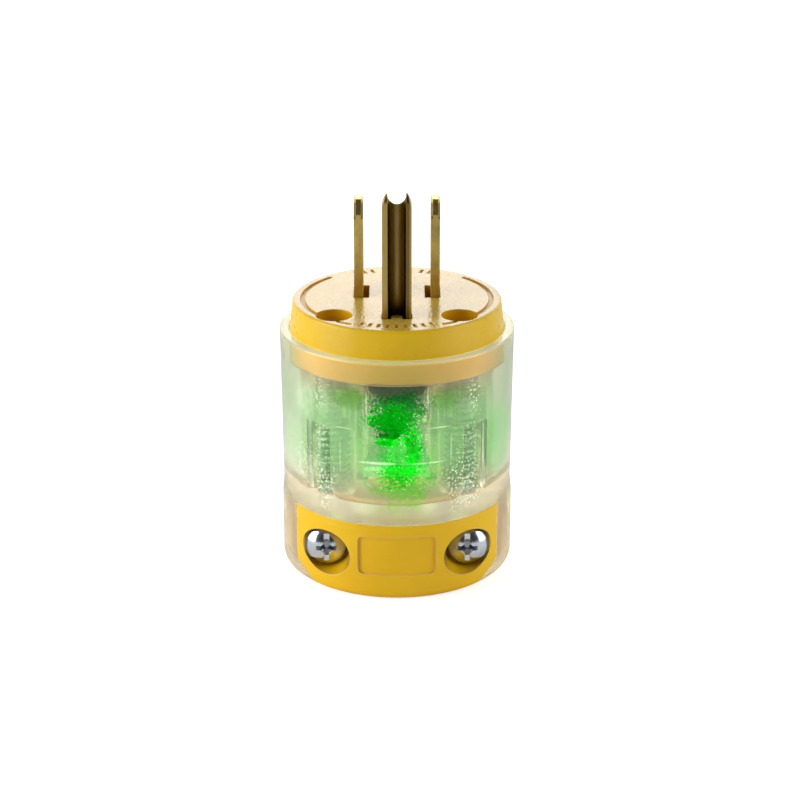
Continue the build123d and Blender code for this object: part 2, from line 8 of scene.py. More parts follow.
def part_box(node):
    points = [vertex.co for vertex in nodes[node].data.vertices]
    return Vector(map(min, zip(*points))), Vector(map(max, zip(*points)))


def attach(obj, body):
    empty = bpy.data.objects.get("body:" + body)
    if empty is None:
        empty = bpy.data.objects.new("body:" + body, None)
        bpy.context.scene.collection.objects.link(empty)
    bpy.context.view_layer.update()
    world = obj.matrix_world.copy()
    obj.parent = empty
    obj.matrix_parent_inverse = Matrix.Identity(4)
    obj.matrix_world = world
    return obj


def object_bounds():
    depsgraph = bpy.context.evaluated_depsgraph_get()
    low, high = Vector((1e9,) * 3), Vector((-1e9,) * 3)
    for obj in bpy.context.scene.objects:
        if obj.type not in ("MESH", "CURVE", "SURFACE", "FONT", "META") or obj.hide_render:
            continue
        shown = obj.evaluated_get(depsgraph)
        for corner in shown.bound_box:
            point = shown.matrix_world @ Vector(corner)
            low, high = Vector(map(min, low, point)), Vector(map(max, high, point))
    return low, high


# Looks of a rewireable plug with a clear body, a yellow face and cord clamp, brass blades
# and a green lamp inside. Metres, +Z along the blades, -Y to the ground pin and the clamp.

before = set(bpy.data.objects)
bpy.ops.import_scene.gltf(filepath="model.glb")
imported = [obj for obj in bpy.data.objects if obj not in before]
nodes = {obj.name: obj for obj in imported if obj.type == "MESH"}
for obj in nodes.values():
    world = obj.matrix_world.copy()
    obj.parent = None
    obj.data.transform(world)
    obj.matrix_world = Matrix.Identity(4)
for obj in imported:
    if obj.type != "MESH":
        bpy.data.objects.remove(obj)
cad_low, cad_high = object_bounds()
MM = 0.001

# Places read from the frame
shell_low, shell_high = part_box("body_shell")
cover_low, cover_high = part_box("face_cover")
pin_low, pin_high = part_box("ground_pin")
blade_low, blade_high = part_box("line_blade")
board_low, board_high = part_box("led_board")
_, lamp_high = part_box("led")
long_screw_low, long_screw_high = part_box("assembly_screw_right")
long_screw_x = (long_screw_low.x + long_screw_high.x) / 2
long_screw_y = (long_screw_low.y + long_screw_high.y) / 2
clamp_screw_low, clamp_screw_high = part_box("clamp_screw_right")
clamp_screw_x = (clamp_screw_low.x + clamp_screw_high.x) / 2
clamp_screw_z = (clamp_screw_low.z + clamp_screw_high.z) / 2

# Colours, as linear light
WHITE = (1.0, 1.0, 1.0)
NYLON_FACE = (0.84, 0.53, 0.008)
NYLON_CLAMP = (1.0, 0.58, 0.005)
# Painted highlight for the nylon's edges
NYLON_EDGE_HIGHLIGHT = (1.0, 0.84, 0.36)
# Painted shade for the walls and floors of the marks and holes cut into the face
NYLON_RECESS_SHADE = (0.82, 0.46, 0.004)
# Painted tint and painted glints for the face's top, for how the light falls on it
NYLON_TOP = (0.42, 0.28, 0.05)
NYLON_GLINT = (1.0, 0.93, 0.80)
NYLON_SHADE = (0.22, 0.11, 0.015)
BRASS = (0.68, 0.51, 0.15)
BRASS_DARK = (0.20, 0.13, 0.045)
SCREW_BRASS = (0.78, 0.58, 0.27)
NICKEL = (0.66, 0.64, 0.60)
NICKEL_DARK = (0.30, 0.29, 0.27)
ZINC = (0.77, 0.82, 0.90)
ZINC_DARK = (0.05, 0.07, 0.09)
# Painted highlight and painted green-lit shade for the grains on the threads
THREAD_BRIGHT = (0.94, 0.98, 0.90)
THREAD_DARK = (0.24, 0.42, 0.22)
GREEN_PAINT = (0.005, 0.22, 0.03)
GREEN_WORN = (0.02, 0.36, 0.07)
GREEN_LIT = (0.0, 0.55, 0.04)
CLEAR = (0.77, 0.75, 0.58)
# Painted warm reflection of the yellow nylon in the clear plastic near its foot and top
CLEAR_WARM = (0.88, 0.71, 0.43)
# Painted olive where the yellow skirt shows through the band
CLEAR_BAND = (0.70, 0.64, 0.26)
# Painted lamp light and shade: darker and greener at the sides
CLEAR_SIDES = (0.44, 0.52, 0.33)
CLEAR_CLOUD = (1.0, 1.0, 0.94)
# Painted shade over the threads
CLEAR_THREAD_SHADE = (0.16, 0.30, 0.13)
CLEAR_SHADOW = (0.88, 0.90, 0.82)
# Painted green lamp light round the lamp
HALO_TINT = (0.56, 0.82, 0.48)
DEEP_SHINE = (0.02, 0.60, 0.06)
GLOW = (0.002, 0.60, 0.008)
# Colours of the painted highlights on edges and of the painted glints
EDGE_LIGHT = (1.0, 0.93, 0.72)
GLINT_LIGHT = (0.90, 1.0, 0.84)
LAMP_EPOXY = (0.02, 0.60, 0.06)
BOARD = (0.86, 0.92, 0.84)
BOARD_LIT = (0.80, 1.0, 0.86)
RESISTOR = (0.62, 0.45, 0.24)
EPOXY_BLACK = (0.025, 0.025, 0.028)
DIODE_BAND = (0.60, 0.60, 0.60)
TINNED = (0.62, 0.62, 0.60)
FLOOR_PALE = (0.86, 0.86, 0.86)

# How a noise is drawn out along each axis, and scales of noise, one over its features' size in metres
EVEN = (1.0, 1.0, 1.0)
ALONG_BLADE = (1.0, 1.0, 0.04)
FINE_SCALE = 2600
WAVE_SCALE = 420

# The radius to which edges look rounded, and the depth of the nylon's finest grain
NYLON_EDGE = 0.30 * MM
METAL_EDGE = 0.12 * MM
CLEAR_EDGE = 0.22 * MM
NYLON_GRAIN = 0.01 * MM

# How much the face's top differs from plain nylon: in painted tint and painted glints, gloss and grain
# depth
TOP_TINT = 0.35
TOP_GLINTS = 0.34
TOP_POLISH = 0.12
TOP_SHEEN = 0.30
TOP_GRAIN = 7 * NYLON_GRAIN

# Where the clear plastic's tint and its painted light change: from and to, upwards in Z, out from the
# middle in X, and for the painted halo up and down from the lamp's tip
WARM_FOOT = (10 * MM, 16 * MM)
WARM_TOP = (33 * MM, 40 * MM)
SIDES_OUT = (13.5 * MM, 18 * MM)
SIDES_UP = (18 * MM, 30 * MM)
SIDES_TOP = (36 * MM, 39 * MM)
BAND_UP = (cover_low.z + 0.1 * MM, cover_low.z + 0.7 * MM)
BAND_OUT = (3 * MM, 15 * MM)
HALO_REACH = (3 * MM, 11 * MM)

# Painted light and shade, and clouds, lie on the front of the clear plastic's outer wall. They all end
# just above the face cover's foot, the lamp's painted glints lower, and the plastic is rougher towards its
# foot.
LIGHT_AND_CLOUD_BACK = -3 * MM
OUTER_WALL = 1.0 * MM
light_and_cloud_top = cover_low.z + 0.3 * MM
FRINGE_GLINTS_TOP = (34 * MM, 36 * MM)
ROUGH_FOOT = (15 * MM, 19 * MM)
FOOT_ROUGHNESS = 0.16

# How strongly the clear plastic takes painted shade over the threads, and how brightly its painted light
# glows
THREAD_SHADE_AMOUNT = 0.60
THREAD_GLINT_GLOW = 0.40
FRINGE_GLINT_GLOW = 0.42
HALO_GLOW = 0.02
RIM_GLOW = 0.18

# Sizes of the round grains: along the lamp spots' ragged edges, in their painted glints, in the painted
# light and shade over the threads, and on the threads themselves
RAGGED_GRAIN = 0.50 * MM
FRINGE_GLINT_GRAIN = 0.42 * MM
THREAD_LIGHT_GRAIN = 0.50 * MM
THREAD_GRAIN = 0.55 * MM

# Spots of light and shade that the lamp throws on the clear plastic in front of it. Each has its
# middle in X and in Z above the lamp's tip, its half width and half height, all in mm, then its
# tint, how ragged its edge is, how much of it shows, and how brightly it glows.
LAMP_SPOTS = (
    (-7.0, 9.6, 4.0, 2.4, (0.60, 0.46, 0.24), 0.5, 0.45, 0.00),
    (7.4, 9.4, 4.0, 2.4, (0.60, 0.46, 0.24), 0.5, 0.45, 0.00),
    (-7.4, 7.6, 3.2, 2.2, (0.20, 0.52, 0.06), 0.9, 0.70, 0.01),
    (7.9, 7.2, 2.8, 2.2, (0.20, 0.52, 0.06), 0.9, 0.60, 0.01),
    (0.0, 10.0, 5.6, 2.6, (0.16, 0.15, 0.07), 0.3, 0.90, 0.00),
    (1.0, -6.6, 5.2, 4.8, (0.30, 0.76, 0.10), 1.4, 0.90, 0.10),
    (-0.2, -1.0, 4.4, 5.0, (0.20, 0.80, 0.18), 1.5, 0.80, 0.06),
    (0.4, 6.8, 5.0, 2.9, (0.002, 0.24, 0.05), 0.8, 0.90, 0.02),
    (-0.5, 4.0, 4.7, 3.6, (0.001, 0.42, 0.01), 1.0, 1.00, 0.13),
    (-11.3, -2.5, 0.9, 4.4, (0.28, 0.55, 0.24), 0.3, 0.65, 0.00),
    (15.4, -8.1, 1.7, 0.45, (0.32, 0.34, 0.18), 0.2, 0.65, 0.00),
    (-17.4, -18.0, 0.3, 6.5, (0.60, 0.44, 0.24), 0.2, 0.55, 0.00),
    (17.4, -18.0, 0.3, 6.5, (0.60, 0.44, 0.24), 0.2, 0.55, 0.00),
    (16.6, -2.3, 2.7, 6.8, (0.34, 0.66, 0.28), 0.3, 0.90, 0.00),
    (2.4, -1.2, 2.0, 4.6, (0.001, 0.55, 0.01), 1.2, 0.95, 0.34),
    (0.6, -4.5, 3.4, 3.2, (0.001, 0.60, 0.01), 1.6, 0.94, 0.08),
    (-1.4, 0.6, 2.6, 0.7, (0.001, 0.50, 0.006), 0.5, 1.00, 0.40),
    (-1.4, 1.9, 2.6, 0.6, (0.001, 0.10, 0.002), 0.5, 1.00, 0.00),
)
# A spot with less red than this is one of the deep green ones, whose fringe breaks into painted glints
DEEP_RED = 0.01

# Painted light and shade in grains where the assembly screws' threads show through the plastic. Each
# patch has its middle in X and Z, its half width and half height, all in mm, then how much of it shows.
THREAD_LIGHT_PATCHES = (
    (-12.7, 34.4, 1.1, 4.4, 0.80),
    (12.5, 34.5, 1.4, 4.6, 0.90),
    (-11.8, 20.4, 2.1, 5.2, 1.15),
    (-14.2, 22.6, 2.6, 5.4, 0.60),
    (10.9, 20.8, 3.2, 6.2, 1.15),
    (12.2, 28.0, 1.9, 4.2, 0.70),
)

# Pale lines and patches where the pieces inside catch the light: middle in X and Z, half width and
# half height, all in mm, then how bright.
PALE_LINES = (
    (-14.8, 33.2, 2.4, 4.4, 0.15),
    (-4.9, 33.8, 0.20, 4.6, 0.30),
    (5.0, 35.6, 0.20, 2.8, 0.26),
    (-3.0, 24.5, 3.8, 0.32, 0.55),
    (4.9, 24.4, 4.4, 0.24, 0.26),
    (6.8, 30.4, 2.6, 0.22, 0.24),
    (-8.7, 30.0, 1.8, 0.22, 0.20),
    (8.8, 26.4, 0.24, 3.4, 0.20),
    (14.1, 25.0, 0.24, 5.4, 0.20),
    (-12.6, 27.0, 0.30, 4.0, 0.16),
    (-9.2, 25.5, 0.24, 4.4, 0.14),
    (0.0, 17.7, 11.0, 0.8, 0.05),
    (-12.0, 33.6, 1.3, 3.8, 0.09),
    (12.2, 32.6, 1.5, 2.4, 0.10),
    (-13.9, 21.8, 2.6, 3.0, 0.10),
    (11.0, 18.2, 2.4, 2.2, 0.12),
    (-11.2, 18.2, 1.5, 2.2, 0.12),
)

# The resistor's bands, each with its place along the body from its middle, and its colour
RESISTOR_BANDS = (
    (-2.2 * MM, (0.30, 0.09, 0.02)),
    (-0.9 * MM, (0.02, 0.02, 0.02)),
    (0.3 * MM, (0.85, 0.25, 0.02)),
    (2.2 * MM, (0.70, 0.50, 0.12)),
)
RESISTOR_HALF = 3.12 * MM
DIODE_HALF = 2.32 * MM
BAND_HALF = 0.28 * MM

# The threads of the two long screws: a ridge from the shank out to the crest, whose crest is lower
# in the upper stretch, nearer the head. It turns in steps, and rises and ends within part of a turn.
SHANK = 1.5 * MM
CREST = 1.85 * MM
CREST_NEAR_HEAD = 1.63 * MM
THREAD_PITCH = 1.1 * MM
THREAD_FOOT = 16.9 * MM
THREAD_CHANGE = 28.4 * MM
THREAD_TOP = 38.0 * MM
STEPS_PER_TURN = 20
TAPER_TURNS = 0.75


class Nodes:
    """A material or world being made from nodes, each added by one call."""

    def __init__(self, owner):
        self.owner = owner
        owner.use_nodes = True
        self.tree = owner.node_tree
        self.tree.nodes.clear()

    def add(self, kind, inputs=None, **settings):
        """Adds a node, sets its settings, and fills its inputs with values or other nodes' outputs."""
        node = self.tree.nodes.new(kind)
        for name, value in settings.items():
            setattr(node, name, value)
        for name, value in (inputs or {}).items():
            self.fill(node.inputs[name], value)
        return node

    def fill(self, socket, value):
        """Links an output to the socket, or sets the socket to a value."""
        if isinstance(value, bpy.types.NodeSocket):
            self.tree.links.new(value, socket)
        elif socket.type == "RGBA" and len(value) == 3:
            socket.default_value = (*value, 1.0)
        else:
            socket.default_value = value

    def math(self, operation, first, second=0.0, clamp=False):
        """The output of a Math node on two values."""
        settings = {"operation": operation, "use_clamp": clamp}
        return self.add("ShaderNodeMath", {0: first, 1: second}, **settings).outputs[0]

    def product(self, first, *others):
        """The values multiplied together."""
        for other in others:
            first = self.math("MULTIPLY", first, other)
        return first

    def largest(self, first, *others):
        """The largest of the values."""
        for other in others:
            first = self.math("MAXIMUM", first, other)
        return first

    def apart(self, first, second):
        """How far apart two values are."""
        return self.math("ABSOLUTE", self.math("SUBTRACT", first, second))

    def diagonal(self, across, up):
        """The length of the diagonal over two distances at a right angle."""
        squares = self.math("ADD", self.product(across, across), self.product(up, up))
        return self.math("SQRT", squares)

    def place(self):
        """The position on the object, in metres in the row frame."""
        return self.add("ShaderNodeTexCoord").outputs["Object"]

    def axes(self):
        """The three coordinates of the position."""
        return self.add("ShaderNodeSeparateXYZ", {0: self.place()}).outputs

    def noise(self, scale, detail=3.0, stretch=EVEN):
        """Noise with features of about one over scale, in metres, drawn out along an axis by stretch."""
        vector = self.place()
        if stretch != EVEN:
            vector = self.add("ShaderNodeMapping", {"Vector": vector, "Scale": stretch}).outputs[0]
        inputs = {"Vector": vector, "Scale": scale, "Detail": detail, "Roughness": 0.55}
        return self.add("ShaderNodeTexNoise", inputs).outputs["Fac"]

    def cells(self, size):
        """The distance from the middle of small round cells of about the size, as a share of it."""
        inputs = {"Vector": self.place(), "Scale": 1.0 / size}
        return self.add("ShaderNodeTexVoronoi", inputs).outputs["Distance"]

    def spread(self, value, low, high, to_low=0.0, to_high=1.0, smooth=False):
        """A value between low and high mapped to another range, held at its ends."""
        inputs = {"Value": value, "From Min": low, "From Max": high, "To Min": to_low, "To Max": to_high}
        kind = "SMOOTHSTEP" if smooth else "LINEAR"
        return self.add("ShaderNodeMapRange", inputs, interpolation_type=kind).outputs["Result"]

    def fade(self, value, low, high, smooth=False):
        """1 where the value is below low, falling to 0 where it is above high."""
        return self.spread(value, low, high, 1.0, 0.0, smooth=smooth)

    def vary(self, scale, low=0.0, high=1.0, stretch=EVEN):
        """A value that noise of the scale moves between low and high."""
        return self.spread(self.noise(scale, stretch=stretch), 0.3, 0.7, low, high)

    def mix(self, share, first, second):
        """One colour mixed with another: the node's inputs 6 and 7 and its output 2 are for colours."""
        return self.add("ShaderNodeMix", {0: share, 6: first, 7: second}, data_type="RGBA").outputs[2]

    def mottle(self, colour, scale, amount, stretch=EVEN):
        """A colour that varies a little from place to place."""
        dark = tuple(c * (1 - amount) for c in colour)
        light = tuple(min(c * (1 + amount), 1.0) for c in colour)
        return self.mix(self.vary(scale, stretch=stretch), dark, light)

    def bump(self, height, distance, under=None):
        """A normal disturbed by a height, on top of another normal if one is given."""
        inputs = {"Height": height, "Distance": distance}
        if under is not None:
            inputs["Normal"] = under
        return self.add("ShaderNodeBump", inputs).outputs["Normal"]

    def rounded(self, radius):
        """The normal as if every edge were rounded to the radius."""
        return self.add("ShaderNodeBevel", {"Radius": radius}, samples=4).outputs["Normal"]

    def edges(self, rounded):
        """How near a place is to an edge, from a rounded normal: 0 on a face, 1 on a sharp edge."""
        flat = self.add("ShaderNodeNewGeometry").outputs["Normal"]
        alike = self.add("ShaderNodeVectorMath", {0: rounded, 1: flat}, operation="DOT_PRODUCT")
        return self.fade(alike.outputs["Value"], 0.80, 0.98)

    def principled(self, inputs):
        """Joins a Principled shader with the inputs to the output and gives the material back."""
        return self.finish(self.add("ShaderNodeBsdfPrincipled", inputs).outputs[0])

    def finish(self, shader):
        """Joins the shader to the output and gives the material back."""
        self.add("ShaderNodeOutputMaterial", {"Surface": shader})
        return self.owner


def material(name):
    """The nodes of a new material."""
    return Nodes(bpy.data.materials.new(name))


def paint(finish, slot, *names):
    """Gives a material to CAD nodes. The slot is not used."""
    for name in names:
        piece = nodes[name]
        piece.data.materials.clear()
        piece.data.materials.append(finish)


# The nylon face and clamp
def nylon(name, colour, roughness, edge_highlight, dress):
    """Moulded yellow plastic: fine grain, slight clouding and a painted highlight on its edges, then its
    own dress.
    """
    m = material(name)
    smooth = m.rounded(NYLON_EDGE)
    # Painted highlight along the edges, paler than the nylon
    base = m.mix(m.product(m.edges(smooth), edge_highlight), m.mottle(colour, 90, 0.05), NYLON_EDGE_HIGHLIGHT)
    normal = m.bump(m.noise(FINE_SCALE, detail=2.0), NYLON_GRAIN, under=smooth)
    normal = m.bump(m.noise(WAVE_SCALE, detail=2.0), 2 * NYLON_GRAIN, under=normal)
    inputs = {
        "Base Color": base,
        "Roughness": m.vary(700, roughness - 0.05, roughness + 0.06),
        "Normal": normal,
        "IOR": 1.53,
        "Specular IOR Level": 0.35,
        "Subsurface Weight": 0.06,
        "Subsurface Radius": (1.2 * MM, 0.7 * MM, 0.2 * MM),
        "Subsurface Scale": 1.0,
    }
    inputs.update(dress(m, inputs))
    return m.principled(inputs)


def face_dress(m, plain):
    """The face's top, glossy with painted tint and glints, and painted shade, deeper, in the marks and
    holes cut in it.
    """
    rim_width, deepest = 1.2 * MM, 3.0 * MM
    x, y, z = m.axes()
    depth = m.math("SUBTRACT", cover_high.z, z)
    top = m.fade(depth, 0.02 * MM, 0.05 * MM)
    within_rim = m.math("LESS_THAN", m.diagonal(x, y), cover_high.x - rim_width)
    not_deep = m.math("LESS_THAN", depth, deepest)
    # Painted shade: a deeper colour in the marks and holes cut into the face
    recess_shade = m.product(m.spread(depth, 0.08 * MM, 0.30 * MM), within_rim, not_deep)
    # Painted glints and a painted tint on the top, for how the light falls on it
    top_glints = m.spread(m.noise(2800, detail=1.0), 0.50, 0.66)
    base = m.mix(recess_shade, plain["Base Color"], NYLON_RECESS_SHADE)
    base = m.mix(m.product(top, TOP_TINT), base, NYLON_TOP)
    pebbles = m.product(m.noise(1700, detail=2.0), top)
    return {
        "Base Color": m.mix(m.product(top_glints, top, TOP_GLINTS), base, NYLON_GLINT),
        "Roughness": m.math("SUBTRACT", plain["Roughness"], m.product(top, TOP_POLISH)),
        "Normal": m.bump(pebbles, TOP_GRAIN, under=plain["Normal"]),
        "Specular IOR Level": m.math("ADD", m.product(top, TOP_SHEEN), plain["Specular IOR Level"]),
    }


def from_clamp_screw(m, x, z):
    """How far up from the axis of its clamp screw a place is, and how far off that axis."""
    across = m.math("SUBTRACT", m.math("ABSOLUTE", x), clamp_screw_x)
    up = m.math("SUBTRACT", z, clamp_screw_z)
    return up, m.diagonal(across, up)


def clamp_dress(m, plain):
    """Shade on the walls of the clamp's recesses round its screws, except below the heads."""
    recess_radius, least, most = 4.0 * MM, 0.10, 0.70
    x, _, z = m.axes()
    up, off = from_clamp_screw(m, x, z)
    above = m.spread(m.math("DIVIDE", up, off), -0.85, -0.30, least, most, smooth=True)
    shade = m.product(above, m.math("LESS_THAN", off, recess_radius))
    return {"Base Color": m.mix(shade, plain["Base Color"], NYLON_SHADE)}


# Metals
def metal(name, colour, dark, roughness, tarnish, brush=EVEN, dark_share=None):
    """Metal with streaks drawn out along brush, darker tarnish in patches and a varying polish."""
    m = material(name)
    streaks = m.noise(FINE_SCALE, detail=4.0, stretch=brush)
    share = m.spread(m.noise(320, detail=5.0), 0.42, 0.72, 0.0, tarnish)
    if dark_share is not None:
        share = m.math("MAXIMUM", share, dark_share(m), clamp=True)
    smooth = m.rounded(METAL_EDGE)
    share = m.largest(share, m.product(m.edges(smooth), 0.5))
    return m.principled({
        "Base Color": m.mix(share, m.mottle(colour, 1500, 0.08, stretch=brush), dark),
        "Metallic": 1.0,
        "Roughness": m.spread(streaks, 0.25, 0.75, roughness * 0.8, roughness * 1.3),
        "Normal": m.bump(streaks, 0.006 * MM, under=smooth),
    })


def channel_shade(m):
    """How dark the ground pin is: most at the back of its channel, and more on its right limb."""
    inner, outer, blur = 1.5 * MM, 1.9 * MM, 0.3 * MM
    x, y, _ = m.axes()
    inside = m.math("LESS_THAN", m.math("ABSOLUTE", x), inner)
    depth = m.spread(y, pin_low.y, pin_high.y, 0.35, 0.90)
    right_limb = m.spread(x, inner - blur, inner, 0.0, 0.95)
    right_limb = m.product(right_limb, m.spread(x, outer, outer + blur, 1.0, 0.35))
    left_limb = m.spread(x, -inner, blur - inner, 0.28, 0.0)
    return m.largest(m.product(inside, depth), right_limb, left_limb)


def blade_shade(m):
    """How dark the ends of the flat blades are: most on the bevels, bright again at the very tip."""
    bevel_length, bare_length, flat_half, blur = 3.0 * MM, 0.6 * MM, 0.4 * MM, 0.2 * MM
    x, _, z = m.axes()
    blade_x = -(blade_low.x + blade_high.x) / 2
    aside = m.apart(m.math("ABSOLUTE", x), blade_x)
    start = blade_high.z - bevel_length
    end = blade_high.z - bare_length
    along = m.product(m.spread(z, start, start + blur), m.fade(z, end, end + blur))
    return m.product(along, m.spread(aside, flat_half, flat_half + blur / 2, 0.1, 1.0))


def clamp_screw_shade(m):
    """How dark a clamp screw is: its cross recess more with depth, and a ring round its head."""
    cross_radius, cross_depth, head_depth = 2.1 * MM, 3.0 * MM, 4.0 * MM
    x, y, z = m.axes()
    _, off = from_clamp_screw(m, x, z)
    behind = m.math("SUBTRACT", y, clamp_screw_low.y)
    depth = m.spread(behind, 0.7 * MM, 1.7 * MM, 0.0, 0.62)
    in_cross = m.product(m.math("LESS_THAN", off, cross_radius), m.math("LESS_THAN", behind, cross_depth))
    ring = m.product(m.spread(off, 3.1 * MM, 3.35 * MM, 0.0, 0.8), m.math("LESS_THAN", behind, head_depth))
    return m.largest(m.product(depth, in_cross), ring)


def thread_plate():
    """Zinc on a thread's crests, broken into grains of painted highlight and painted shade tinged green by
    the lamp.
    """
    m = material("thread_zinc")
    grains = m.cells(THREAD_GRAIN)
    share = m.spread(m.math("ADD", grains, m.product(m.noise(900), 0.5)), 0.58, 0.80)
    return m.principled({
        "Base Color": m.mix(share, THREAD_BRIGHT, THREAD_DARK),
        "Metallic": 0.15,
        "Roughness": m.vary(1200, 0.18, 0.30),
        "Normal": m.bump(grains, 0.15 * MM),
    })


def painted_screw():
    """Green finish on the ground screw, lit by the lamp below it."""
    m = material("green_finish")
    wear = m.spread(m.noise(1400, detail=4.0), 0.60, 0.75)
    return m.principled({
        "Base Color": m.mix(wear, GREEN_PAINT, GREEN_WORN),
        "Metallic": 0.5,
        "Roughness": m.vary(900, 0.28, 0.42),
        "Emission Color": GREEN_LIT,
        "Emission Strength": m.vary(500, 0.25, 0.60),
        "Normal": m.bump(m.noise(2500), 0.01 * MM),
    })


# The clear plastic of the body and the terminal block
def from_spot(m, x, z, spot):
    """How far a place is from a spot's middle, as a share of the spot's half width and half height."""
    middle_x, middle_z, half_x, half_z = spot
    across = m.math("DIVIDE", m.math("SUBTRACT", x, middle_x * MM), half_x * MM)
    up = m.math("DIVIDE", m.math("SUBTRACT", z, middle_z * MM), half_z * MM)
    return m.diagonal(across, up)


def on_outside(m, x, y):
    """1 on the front half of the body's outer wall, 0 elsewhere."""
    outside = m.math("GREATER_THAN", m.diagonal(x, y), shell_high.x - OUTER_WALL)
    return m.product(outside, m.math("LESS_THAN", y, LIGHT_AND_CLOUD_BACK))


def lamp_light(m, tint, x, y, z):
    """The tint with the lamp's painted spots on it, how brightly they glow, the deep green share, and
    painted glints.
    """
    below_cover = m.math("LESS_THAN", z, light_and_cloud_top)
    front = m.product(m.fade(y, -8 * MM, LIGHT_AND_CLOUD_BACK), below_cover)
    above_lamp = m.math("SUBTRACT", z, lamp_high.z)
    waves = m.product(m.math("SUBTRACT", m.noise(WAVE_SCALE, detail=2.0), 0.5), 1.1)
    dots = m.math("SUBTRACT", m.cells(RAGGED_GRAIN), 0.45)
    raggedness = m.math("ADD", waves, dots)
    glow, deep = 0.0, 0.0
    for *spot, colour, ragged, shown, bright in LAMP_SPOTS:
        off = m.math("ADD", from_spot(m, x, above_lamp, spot), m.product(raggedness, ragged))
        share = m.product(m.spread(off, 0.70, 1.10, shown, 0.0, smooth=True), front)
        tint = m.mix(share, tint, colour)
        glow = m.math("ADD", glow, m.product(share, bright))
        if colour[0] < DEEP_RED:
            deep = m.largest(deep, share)
    # Painted glints where the deep green spots fray
    fringe = m.product(m.spread(deep, 0.02, 0.25), m.fade(deep, 0.55, 0.98))
    grains = m.fade(m.cells(FRINGE_GLINT_GRAIN), 0.20, 0.38)
    fringe_glints = m.product(fringe, grains, m.fade(z, *FRINGE_GLINTS_TOP))
    return tint, glow, deep, fringe_glints


def painted_thread_light(m, x, y, z):
    """How strong the painted shade and highlights are in the grains where the screws' threads show
    through.
    """
    waves = m.product(m.math("SUBTRACT", m.noise(WAVE_SCALE, detail=2.0), 0.5), 1.2)
    near = 0.0
    for *spot, shown in THREAD_LIGHT_PATCHES:
        off = m.math("ADD", from_spot(m, x, z, spot), waves)
        near = m.largest(near, m.spread(off, 0.25, 1.15, shown, 0.0))
    near = m.product(near, on_outside(m, x, y), m.fade(z, light_and_cloud_top - 0.6 * MM, light_and_cloud_top))
    grains = m.cells(THREAD_LIGHT_GRAIN)
    dark = m.product(near, m.spread(grains, 0.46, 0.60))
    bright = m.product(near, m.fade(grains, 0.20, 0.40))
    return dark, bright


def pale_lines(m, x, y, z):
    """How brightly the edges of the pieces inside show as lines and patches in the wall."""
    total = 0.0
    for *spot, bright in PALE_LINES:
        line = m.spread(from_spot(m, x, z, spot), 0.3, 1.0, bright, 0.0, smooth=True)
        total = m.largest(total, line)
    broken = m.spread(m.noise(600, detail=2.0), 0.35, 0.65, 0.60, 1.15)
    return m.product(total, broken, on_outside(m, x, y))


def clear_tint(m, x, y, z, halo):
    """The plastic's tint with painted light: warm from the nylon at foot and top, green round the lamp,
    deeper at the sides, and cloudy.
    """
    # Painted warm reflection of the yellow nylon, at the foot and towards the top
    warm = m.largest(m.fade(z, *WARM_FOOT), m.spread(z, *WARM_TOP, 0.0, 0.6))
    tint = m.mix(warm, m.mottle(CLEAR, 180, 0.05), m.mottle(CLEAR_WARM, 180, 0.04))
    # Painted green lamp light round the lamp
    tint = m.mix(halo, tint, HALO_TINT)
    # Painted lamp light and shade: darker and greener at the sides
    aside = m.math("ABSOLUTE", x)
    sides = m.product(m.spread(aside, *SIDES_OUT), m.spread(z, *SIDES_UP))
    sides = m.product(sides, m.spread(z, *SIDES_TOP, 1.0, 0.7))
    tint = m.mix(sides, tint, CLEAR_SIDES)
    # Painted olive where the yellow skirt shows through above the cover's foot, strongest in the middle
    band = m.product(m.spread(z, *BAND_UP), m.fade(aside, *BAND_OUT))
    tint = m.mix(band, tint, CLEAR_BAND)
    cloud = m.spread(m.noise(1400), 0.40, 0.68, 0.0, 0.30)
    cloud = m.product(cloud, on_outside(m, x, y), m.fade(z, light_and_cloud_top - 0.4 * MM, light_and_cloud_top))
    return m.mix(cloud, tint, CLEAR_CLOUD)


